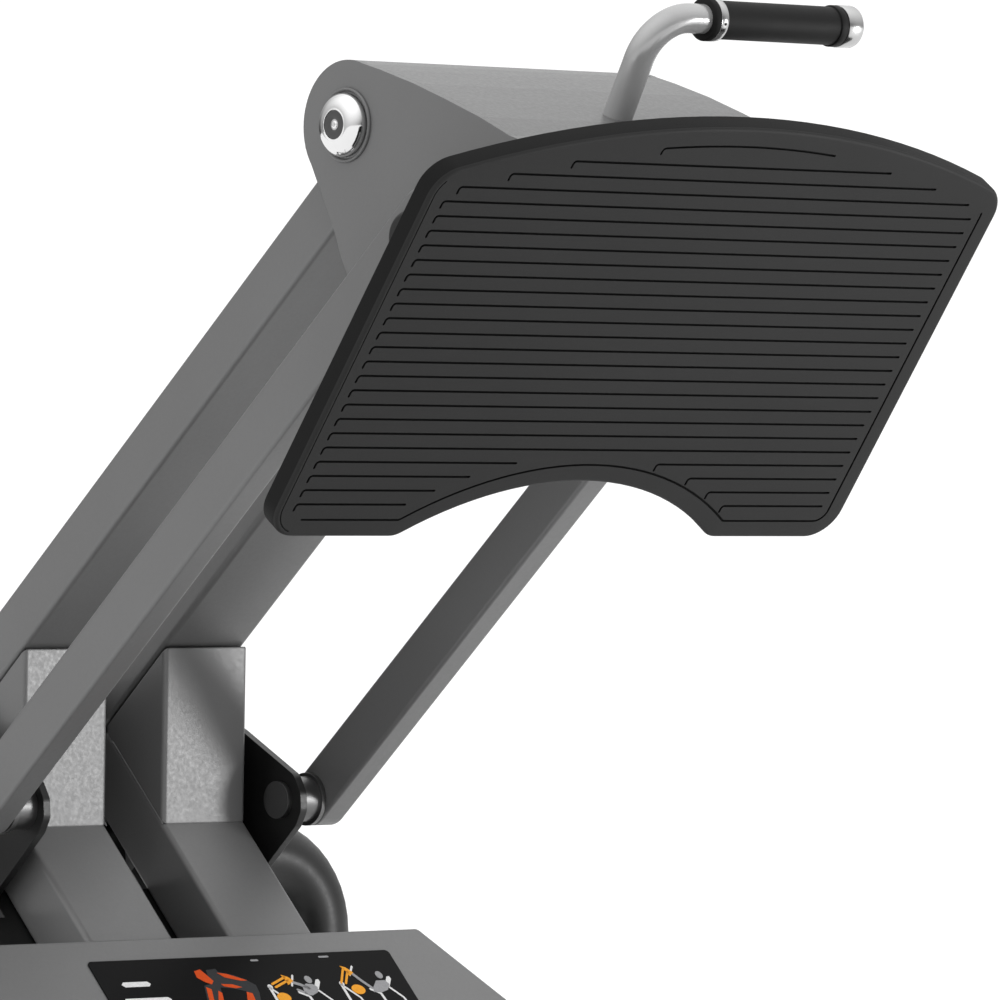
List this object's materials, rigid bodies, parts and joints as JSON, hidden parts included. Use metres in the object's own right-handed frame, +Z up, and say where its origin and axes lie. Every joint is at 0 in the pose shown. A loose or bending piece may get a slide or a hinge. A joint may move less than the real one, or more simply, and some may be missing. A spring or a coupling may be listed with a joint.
{
  "type": "leg press machine",
  "caption": "Plate-loaded seated leg press: parallelogram linkage carries a wide ribbed foot plate with a hand grip; weight arm, sliding seat and reclined backrest on a floor frame.",
  "frame": {"origin": "on the floor, at the middle of the bounding box's footprint", "axes": "+X the user's right, +Y the way the seated user faces, +Z up"},
  "size_m": [1.406, 2.1616, 1.374],
  "materials": {
    "frame_paint": "satin grey powder coat",
    "black_paint": "satin black",
    "rubber": "matt",
    "tread_plastic": "fine grained black",
    "steel": "turned",
    "chrome": "polished",
    "placard_print": "printed plate",
    "upholstery": "black vinyl",
    "board_black": "matt",
    "knob_plastic": "moulded"
  },
  "bodies": {
    "frame": {"base_rail": "frame_paint", "column_foot": "frame_paint", "column_left": "frame_paint", "column_right": "frame_paint", "column_web": "black_paint", "ear_bracket_left": "black_paint", "ear_bracket_right": "black_paint", "front_foot": "frame_paint", "front_foot_pad_left": "rubber", "front_foot_pad_right": "rubber", "head_beam": "frame_paint", "head_plate_left": "frame_paint", "head_plate_right": "frame_paint", "lower_pivot_pin_left": "steel", "lower_pivot_pin_right": "steel", "placard": "placard_print", "placard_housing": "frame_paint", "rear_foot": "frame_paint", "rear_foot_pad_left": "rubber", "rear_foot_pad_right": "rubber", "stand": "black_paint", "stop_block_left": "frame_paint", "stop_block_right": "frame_paint", "stop_pad_left": "rubber", "stop_pad_right": "rubber", "upper_pivot_shaft": "steel"},
    "upper_linkage": {"upper_link_left": "frame_paint", "upper_link_right": "frame_paint", "weight_yoke": "black_paint", "weight_arm_left": "black_paint", "weight_arm_right": "black_paint", "weight_horn_left": "chrome", "weight_horn_right": "chrome"},
    "carriage": {"carriage_side_left": "frame_paint", "carriage_side_right": "frame_paint", "carriage_cover": "frame_paint", "foot_plate_backing": "frame_paint", "foot_plate": "tread_plastic", "carriage_shaft": "steel", "shaft_cap_left": "chrome", "shaft_cap_right": "chrome", "carriage_pin_left": "black_paint", "carriage_pin_right": "black_paint", "grip_stem": "steel", "grip_sleeve": "rubber", "grip_end": "chrome"},
    "lower_link_left_body": {"lower_link_left": "frame_paint"},
    "lower_link_right_body": {"lower_link_right": "frame_paint"},
    "seat_unit": {"seat_slider": "frame_paint", "seat_pad": "upholstery", "seat_board": "board_black", "back_pad": "upholstery", "back_board": "board_black", "seat_post": "frame_paint", "back_spine": "frame_paint", "back_strut": "frame_paint", "seat_handle_left": "frame_paint", "seat_handle_right": "frame_paint"},
    "lock_pin": {"lock_knob": "knob_plastic"}
  },
  "joints": [
    {"name": "press_pivot", "type": "hinge", "parent": "frame", "child": "upper_linkage", "pos_m": [0, 0.92481, 0.726], "axis": [-1, 0, 0], "range_deg": [0, 22]},
    {"name": "carriage_pivot", "type": "hinge", "parent": "upper_linkage", "child": "carriage", "pos_m": [0, 0.30081, 1.2595], "axis": [1, 0, 0], "range_deg": [0, 22]},
    {"name": "lower_link_left_pivot", "type": "hinge", "parent": "frame", "child": "lower_link_left_body", "pos_m": [0, 0.78181, 0.64], "axis": [-1, 0, 0], "range_deg": [0, 22]},
    {"name": "lower_link_right_pivot", "type": "hinge", "parent": "frame", "child": "lower_link_right_body", "pos_m": [0, 0.78181, 0.64], "axis": [-1, 0, 0], "range_deg": [0, 22]},
    {"name": "seat_slide", "type": "slide", "parent": "frame", "child": "seat_unit", "axis": [0, 1, 0], "range_m": [0, 0.2]},
    {"name": "lock_pin_pull", "type": "slide", "parent": "seat_unit", "child": "lock_pin", "axis": [1, 0, 0], "range_m": [0, 0.014], "stiffness_N_per_m": 900, "springref_m": -0.01}
  ],
  "couplings": [
    {"joint": "carriage_pivot", "follows": "press_pivot", "ratio": 1},
    {"joint": "lower_link_left_pivot", "follows": "press_pivot", "ratio": 1},
    {"joint": "lower_link_right_pivot", "follows": "press_pivot", "ratio": 1}
  ]
}
